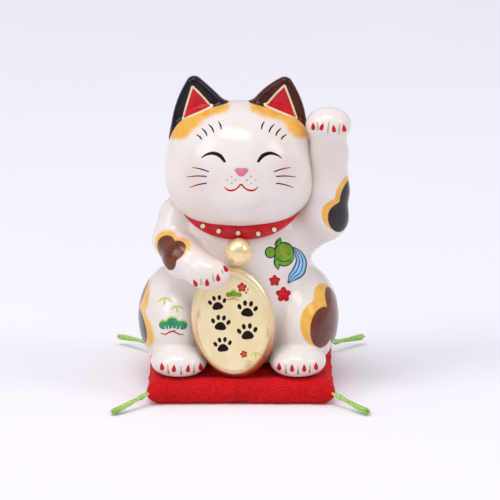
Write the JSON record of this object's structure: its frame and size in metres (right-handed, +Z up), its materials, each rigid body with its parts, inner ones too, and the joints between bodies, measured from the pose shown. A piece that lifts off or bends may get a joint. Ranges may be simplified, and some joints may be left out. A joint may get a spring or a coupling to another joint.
{
  "type": "beckoning cat figurine",
  "caption": "Glazed seated cat with one raised paw, red collar with bell and an oval gold coin, lifting off a square tasselled crepe cushion.",
  "frame": {"origin": "centre of the cushion's flat underside, on the surface that the object stands on", "axes": "+Z up; the cat faces -Y; +X is the cat's own left, the side of the raised paw"},
  "size_m": [0.1382, 0.1381, 0.1682],
  "materials": {
    "white_glaze": "milk-white gloss glaze with painted markings",
    "black_glaze": "purple-black gloss glaze",
    "brown_glaze": "dark brown gloss glaze",
    "red_enamel": "red gloss enamel",
    "gold_lustre": "satin gold lustre fired over glaze",
    "red_crepe": "finely crinkled red crepe",
    "wadding": "cotton wadding",
    "green_thread": "pale green twisted thread"
  },
  "bodies": {
    "cushion": {"cushion_top_panel": "red_crepe", "cushion_bottom_panel": "red_crepe", "cushion_stuffing": "wadding", "tie_front_right": "green_thread", "tie_front_left": "green_thread", "tie_rear_right": "green_thread", "tie_rear_left": "green_thread"},
    "cat": {"torso": "white_glaze", "head": "white_glaze", "ear_right": "black_glaze", "ear_left": "brown_glaze", "raised_arm": "white_glaze", "lowered_arm": "white_glaze", "haunch_right": "white_glaze", "haunch_left": "white_glaze", "foot_right": "white_glaze", "foot_left": "white_glaze", "tail": "white_glaze", "collar": "red_enamel", "bell": "gold_lustre", "koban_coin": "gold_lustre"},
    "tassel_front_right": {"tassel_front_right": "green_thread"},
    "tassel_front_left": {"tassel_front_left": "green_thread"},
    "tassel_rear_right": {"tassel_rear_right": "green_thread"},
    "tassel_rear_left": {"tassel_rear_left": "green_thread"}
  },
  "joints": [
    {"name": "cat_lift", "type": "slide", "parent": "cushion", "child": "cat", "axis": [0, 0, 1], "range_m": [0, 0.08]},
    {"name": "tassel_front_right_swing", "type": "hinge", "parent": "cushion", "child": "tassel_front_right", "pos_m": [-0.05246, -0.05246, 0.00571], "axis": [-0.7071, 0.7071, 0], "range_deg": [0, 60]},
    {"name": "tassel_front_left_swing", "type": "hinge", "parent": "cushion", "child": "tassel_front_left", "pos_m": [0.05246, -0.05246, 0.00571], "axis": [-0.7071, -0.7071, 0], "range_deg": [0, 60]},
    {"name": "tassel_rear_right_swing", "type": "hinge", "parent": "cushion", "child": "tassel_rear_right", "pos_m": [-0.05248, 0.05248, 0.00589], "axis": [0.7071, 0.7071, 0], "range_deg": [0, 60]},
    {"name": "tassel_rear_left_swing", "type": "hinge", "parent": "cushion", "child": "tassel_rear_left", "pos_m": [0.05248, 0.05248, 0.00589], "axis": [0.7071, -0.7071, 0], "range_deg": [0, 60]}
  ]
}
